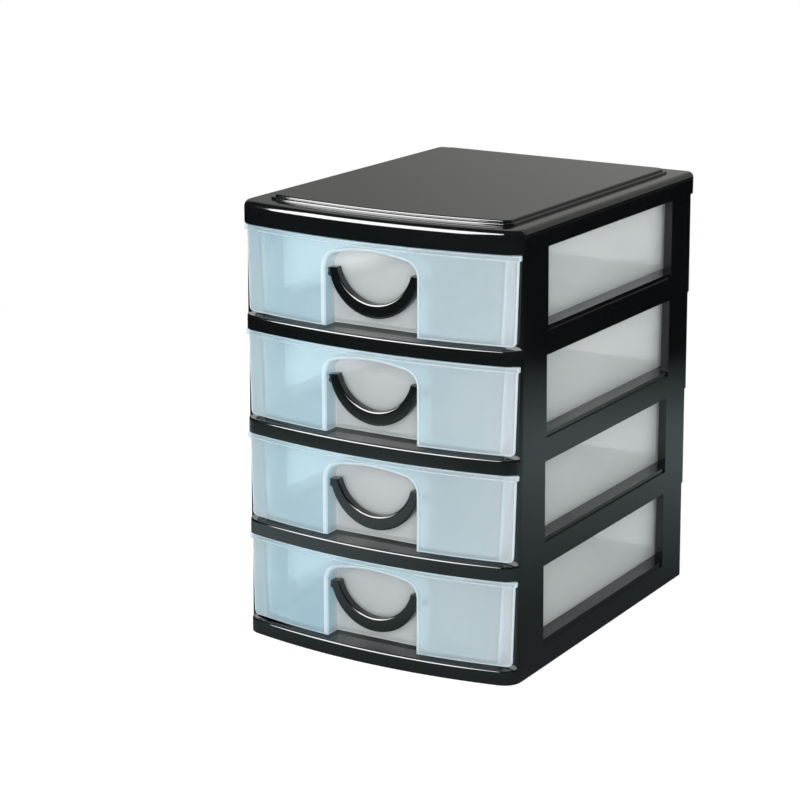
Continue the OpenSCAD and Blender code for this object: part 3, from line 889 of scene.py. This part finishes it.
class DRAWERS_OT_drawers(bpy.types.Operator):
    """Builds the drawers: bowed front with a bead, arched pocket, tray, rim and runners"""

    bl_idname = "drawers.drawers"
    bl_label = "Drawers"

    def execute(self, context):
        plans = Plans(context.scene)
        t, d, h = plans.t, plans.d, plans.h
        end, web = t.depth - d.tray_back, d.tray_t / 2
        tray = self.tray_outside(plans, d, end)
        combine(tray, [self.tray_inside(plans, d, end)], "DIFFERENCE")

        pocket = skin("pocket", [
            [(x, y, -z) for x, z in self.arch(d, d.tray_t, d.foot_z)]
            for y in (-t.bow, d.pocket_y + d.tray_t)
        ])
        combine(pocket, [self.tray_outside(plans, d, end)], "INTERSECT")
        runners = both_sides([
            block("runner", (d.runner_x - web, d.runner_in, t.deck_z + GAP),
                  (d.runner_x + web, end - d.runner_in, d.foot_z + web)),
        ])
        combine(tray, [self.front(plans, d), pocket] + runners, "UNION")
        bore_r = h.pin_r + PIN_GAP
        bores = both_sides([
            turned("bore", [(0, bore_r), (d.tray_t + 2 * OVER, bore_r)],
                   (d.pocket_half - OVER, h.pivot_y, h.pivot_z)),
        ])
        combine(tray, [self.hollow(plans, d, t.deck_z)] + bores, "DIFFERENCE")
        soften(tray, d.edge)
        mark_rounded(tray, plans.bow_y, plans.bow_r - d.face_in - d.mouth_r, d.tray_half)
        finish_tiers(tray, "drawer", frosted_polypropylene_and_painted_cool_light)
        return {"FINISHED"}

    @staticmethod
    def front(plans, d):
        """The bowed front panel with the bead along its top."""
        end, edge, foot = plans.middle_y / 3, d.bead / 2, d.panel_half - d.panel_draft
        bead_z = d.rim_z - d.rim_h
        rings = []
        for i, z in rounded_foot(d.heel_r):
            low = max(d.foot_r - z, 0.0)
            back = d.foot_r - math.sqrt(d.foot_r**2 - low**2)
            heel = plans.drawer(foot - i, d.face_in + back, end, d.corner)
            rings.append((heel, d.foot_z + z))
        rings.append((plans.drawer(d.panel_half, d.face_in, end, d.corner), bead_z + edge))
        panel = loft("panel", rings)
        steps = rounded_foot(edge) + [(i, d.rim_h - edge + z) for i, z in rounded_top(edge)]
        bead = loft("bead", [
            (plans.drawer(d.panel_half + d.bead - i, d.face_in - d.bead + i, end, d.corner),
             bead_z + z) for i, z in steps
        ])
        combine(panel, [bead], "UNION")
        back = plans.drawer(plans.half + plans.t.wall, d.face_in + d.panel_t, FAR, d.corner)
        return combine(panel, [slab("behind", back, 0, FAR)], "DIFFERENCE")

    @staticmethod
    def tray_outside(plans, d, end):
        behind = d.face_in + d.panel_t / 2
        rim, out, corner = d.tray_half + d.tray_flare, d.rim_out, d.tray_corner
        rings = [
            (plans.drawer(d.tray_half - i, behind + i, end - i, d.corner, corner),
             d.foot_z + z) for i, z in rounded_foot(d.foot_r)
        ]
        rings.append((plans.drawer(rim, behind, end, d.corner, corner), d.rim_z))
        ledge = plans.drawer(rim + out, behind, end + out, d.corner, corner + out)
        ledge = slab("ledge", ledge, d.rim_z - d.tray_t, d.rim_z)
        return combine(loft("tray", rings), [ledge], "UNION")

    @staticmethod
    def tray_inside(plans, d, end):
        behind, corner = d.face_in + d.panel_t + GAP, d.tray_corner - d.tray_t
        half, floor, back = d.tray_half - d.tray_t, d.foot_z + d.tray_t, end - d.tray_t
        rings = [
            (plans.drawer(half - i, behind + i, back - i, d.corner, corner), floor + z)
            for i, z in rounded_foot(d.foot_r)
        ]
        rim = plans.drawer(half + d.tray_flare, behind, back, d.corner, corner)
        return loft("inside", rings + [(rim, d.rim_z), (rim, d.rim_z + OVER)])

    @staticmethod
    def arch(d, grow, foot):
        """The pocket's arch moved outwards by grow, as (x, -z) points."""
        return bowed(d.pocket_half + grow, d.crown_r + grow, d.crown_r - d.pocket_z,
                     d.shoulder_r + grow, -foot, LEAST_R)

    def hollow(self, plans, d, foot):
        """The pocket's hollow, its mouth rounded along the bowed face."""
        def face(x, behind):
            return plans.bow_y - math.sqrt((plans.bow_r - d.face_in - behind) ** 2 - x * x)

        rings = [[(x, -FAR, -z) for x, z in self.arch(d, d.mouth_r, foot)]]
        rings += [[(x, face(x, behind), -z) for x, z in self.arch(d, grow, foot)]
                  for grow, behind in rounded_foot(d.mouth_r)]
        rings += [[(x, d.pocket_y, -z) for x, z in self.arch(d, 0.0, foot)]]
        return skin("hollow", rings)


class DRAWERS_OT_handles(bpy.types.Operator):
    """Builds the bail handles: a swept crescent with lugs and pins on its arms"""

    bl_idname = "drawers.handles"
    bl_label = "Bail handles"

    def execute(self, context):
        plans = Plans(context.scene)
        d, h = plans.d, plans.h
        bail = grown("bail", bail_tree(h))
        bail.data.transform(Matrix.Translation((0, h.pivot_y, h.pivot_z + h.up)))
        wall, boss, tip = d.pocket_half - GAP, h.pin_r + BOSS, h.pin_tip
        pivot = (h.inner_r, h.pivot_y, h.pivot_z)
        end = d.pocket_half + d.tray_t + h.pin_out - h.inner_r
        lugs = both_sides([
            turned("boss", [(0, boss), (wall - h.inner_r, boss)], pivot),
            block("lug", (h.inner_r, h.pivot_y - boss, h.pivot_z),
                  (wall, h.pivot_y + boss, h.pivot_z + h.arm_up)),
            turned("pin", [(0, h.pin_r), (end - tip, h.pin_r), (end, h.pin_r - tip)], pivot),
        ])
        combine(bail, lugs, "UNION")
        soften(bail, h.edge, sharp=40)
        finish_tiers(bail, "handle", black_polystyrene_moulded)
        return {"FINISHED"}


class DRAWERS_OT_stage(bpy.types.Operator):
    """Builds the studio: paper sweep, soft lamps and the camera at the photograph's angle"""

    bl_idname = "drawers.stage"
    bl_label = "Studio"

    # the lamps' size and place in metres, power in watts, colour, and whether the
    # gloss alone sees them, as it does the window, or all but the gloss
    lamps = {
        "key": (1.2, (0.75, -1.65, 0.6), 70.0, "FBFCFF", False),
        "overhead": (1.0, (-0.9, -0.35, 1.7), 16.0, "FFFFFF", False),
        "left": (1.4, (-1.7, 0.5, 0.8), 22.0, "FFFFFF", False),
        "fill": (1.2, (1.8, 0.2, 1.0), 6.0, "FFFFFF", False),
        "window": (1.6, (-0.85, -1.47, 0.98), 150.0, "FFFFFF", True),
    }
    aim = (0, 0, 0.12)

    def execute(self, context):
        scene = context.scene
        self.sweep()
        for name, lamp in self.lamps.items():
            self.lamp(name, *lamp)
        self.room(scene)
        self.camera(scene)
        scene.view_settings.view_transform = "Standard"
        return {"FINISHED"}

    @staticmethod
    def sweep():
        """White paper that lies under the object and rises far behind it."""
        side, bend, radius, top, steps = 6.0, 2.5, 1.0, 5.0, 16
        profile = [(-side, 0.0), (bend, 0.0)]
        profile += [
            (bend + radius * math.sin(a), radius * (1 - math.cos(a)))
            for a in (math.pi / 2 * k / steps for k in range(1, steps + 1))
        ]
        profile += [(bend + radius, top)]
        bm = bmesh.new()
        rows = [[bm.verts.new((x, y, z)) for x in (-side, side)] for y, z in profile]
        for low, high in zip(rows, rows[1:]):
            bm.faces.new((low[0], low[1], high[1], high[0]))
        floor = new_object("studio_paper", bm)
        floor.data.shade_smooth()
        floor.data.materials.append(finish(studio_paper_and_painted_reflection))

    def lamp(self, name, size, place, power, colour, glossy):
        """A square softbox that faces the object."""
        light = bpy.data.lights.new(name, "AREA")
        light.shape = "SQUARE"
        light.size = size
        light.energy = power
        light.color = linear(colour)[:3]
        obj = bpy.data.objects.new(name, light)
        obj.location = place
        obj.visible_diffuse = obj.visible_transmission = not glossy
        obj.visible_glossy = glossy
        aim = Vector(self.aim) - Vector(place)
        obj.rotation_euler = aim.to_track_quat("-Z", "Y").to_euler()
        bpy.context.scene.collection.objects.link(obj)

    @staticmethod
    def room(scene):
        """A pale room: white to the camera and nearly dark to the gloss."""
        world = scene.world or bpy.data.worlds.new("studio")
        scene.world = world
        world.use_nodes = True
        tree = world.node_tree
        tree.nodes.clear()
        room, white, dark = (
            add(tree, "ShaderNodeBackground", {"Color": linear(code), "Strength": strength})
            for code, strength in (("F2F5F6", 0.6), ("FFFFFF", 1.0), ("F2F5F6", 0.02))
        )
        path, seen = seen_directly(tree)
        shown = add(tree, "ShaderNodeMixShader", {"Fac": seen, 1: room, 2: white})
        mix = add(tree, "ShaderNodeMixShader", {
            "Fac": path["Is Glossy Ray"], 1: shown, 2: dark})
        add(tree, "ShaderNodeOutputWorld", {"Surface": mix})

    @staticmethod
    def camera(scene):
        """The photograph's camera, found from the corners of the stack."""
        side, focal = 800, 2409.13  # of the photograph and the lens, in its pixels
        axis_x, axis_y = 474.16, 412.62  # where the lens's axis meets it, in pixels
        place = (0.6855, -1.21668, 0.50779)
        azimuth, elevation, roll = (math.radians(a) for a in (29.29, 15.47, 0.47))
        data = bpy.data.cameras.new("camera")
        data.sensor_width = 36.0
        data.lens = focal / side * data.sensor_width
        data.shift_x = (side / 2 - axis_x) / side
        data.shift_y = (axis_y - side / 2) / side
        data.clip_start, data.clip_end = 0.05, 50.0
        obj = bpy.data.objects.new("camera", data)
        back = Vector((math.sin(azimuth) * math.cos(elevation),
                       -math.cos(azimuth) * math.cos(elevation), math.sin(elevation)))
        right = Vector((math.cos(azimuth), math.sin(azimuth), 0))
        up = back.cross(right)
        tilted = math.cos(roll) * right + math.sin(roll) * up
        turn = Matrix((tilted, back.cross(tilted), back)).transposed()
        obj.matrix_world = Matrix.Translation(place) @ turn.to_4x4()
        scene.collection.objects.link(obj)
        scene.camera = obj


class DRAWERS_PT_panel(bpy.types.Panel):
    """Lists the pieces of the drawers and the studio"""

    bl_idname = "DRAWERS_PT_panel"
    bl_label = "Mini Drawers"
    bl_space_type = "VIEW_3D"
    bl_region_type = "UI"
    bl_category = "Mini Drawers"

    def draw(self, context):
        for operator in OPERATORS:
            self.layout.operator(operator.bl_idname)
        for name in GROUPS:
            box = self.layout.box()
            box.label(text=name.replace("drawers_", "").capitalize())
            group = getattr(context.scene, name)
            for key in group.bl_rna.properties.keys():
                if key not in ("rna_type", "name"):
                    box.prop(group, key)


OPERATORS = (
    DRAWERS_OT_cover, DRAWERS_OT_tiers, DRAWERS_OT_drawers, DRAWERS_OT_handles,
    DRAWERS_OT_stage,
)
GROUPS = {
    "drawers_tier": TierSizes,
    "drawers_cover": CoverSizes,
    "drawers_drawer": DrawerSizes,
    "drawers_handle": HandleSizes,
    "drawers_finishes": Finishes,
}


def register():
    for cls in (*GROUPS.values(), *OPERATORS, DRAWERS_PT_panel):
        bpy.utils.register_class(cls)
    for name, cls in GROUPS.items():
        setattr(bpy.types.Scene, name, bpy.props.PointerProperty(type=cls))


def unregister():
    for name in GROUPS:
        delattr(bpy.types.Scene, name)
    for cls in (DRAWERS_PT_panel, *reversed(OPERATORS), *reversed(list(GROUPS.values()))):
        bpy.utils.unregister_class(cls)


def main():
    register()
    for operator in OPERATORS:
        group, name = operator.bl_idname.split(".")
        getattr(getattr(bpy.ops, group), name)()


if __name__ == "__main__":
    main()
